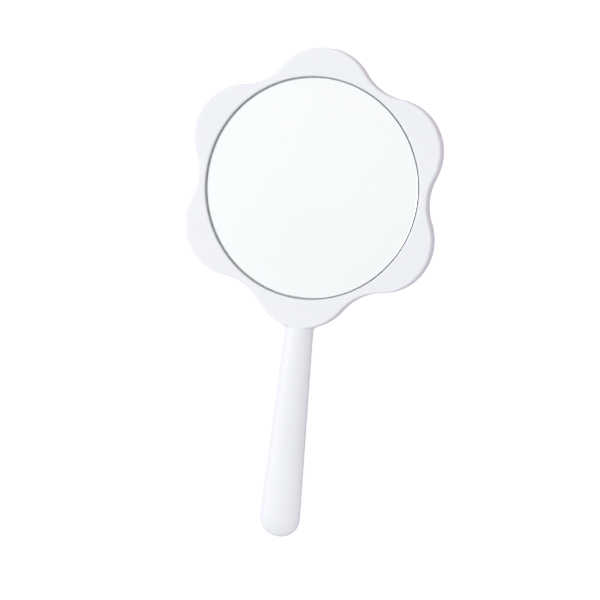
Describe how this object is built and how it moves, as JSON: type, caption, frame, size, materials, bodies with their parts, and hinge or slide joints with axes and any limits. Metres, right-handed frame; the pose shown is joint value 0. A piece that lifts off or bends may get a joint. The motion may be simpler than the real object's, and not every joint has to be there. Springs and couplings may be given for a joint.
{
  "type": "hand mirror",
  "caption": "Hand mirror with a flower-shaped head, a round glass set in its face and a tapered oval handle.",
  "frame": {"origin": "centre of the flower head, on the flat of its back", "axes": "+Z out of the mirror's face, -Y down the handle, +X to the right when the face is looked at with the handle down"},
  "size_m": [0.1288, 0.2463, 0.0105],
  "materials": {
    "shell_plastic": "satin moulded white, faintly cool",
    "float_glass": "polished float glass with a ground edge",
    "silvering": "bright silver film",
    "backing_paint": "matt grey mirror-backing paint",
    "foam_tape": "double-sided foam tape",
    "screw_steel": "zinc-plated self-tapping screws"
  },
  "bodies": {
    "root": {"front_shell": "shell_plastic", "back_shell": "shell_plastic", "mirror_glass": "float_glass", "silver_coat": "silvering", "backing_paint": "backing_paint", "foam_tape_ring": "foam_tape", "foam_tape_pad": "foam_tape", "shell_screws": "screw_steel"}
  },
  "joints": []
}
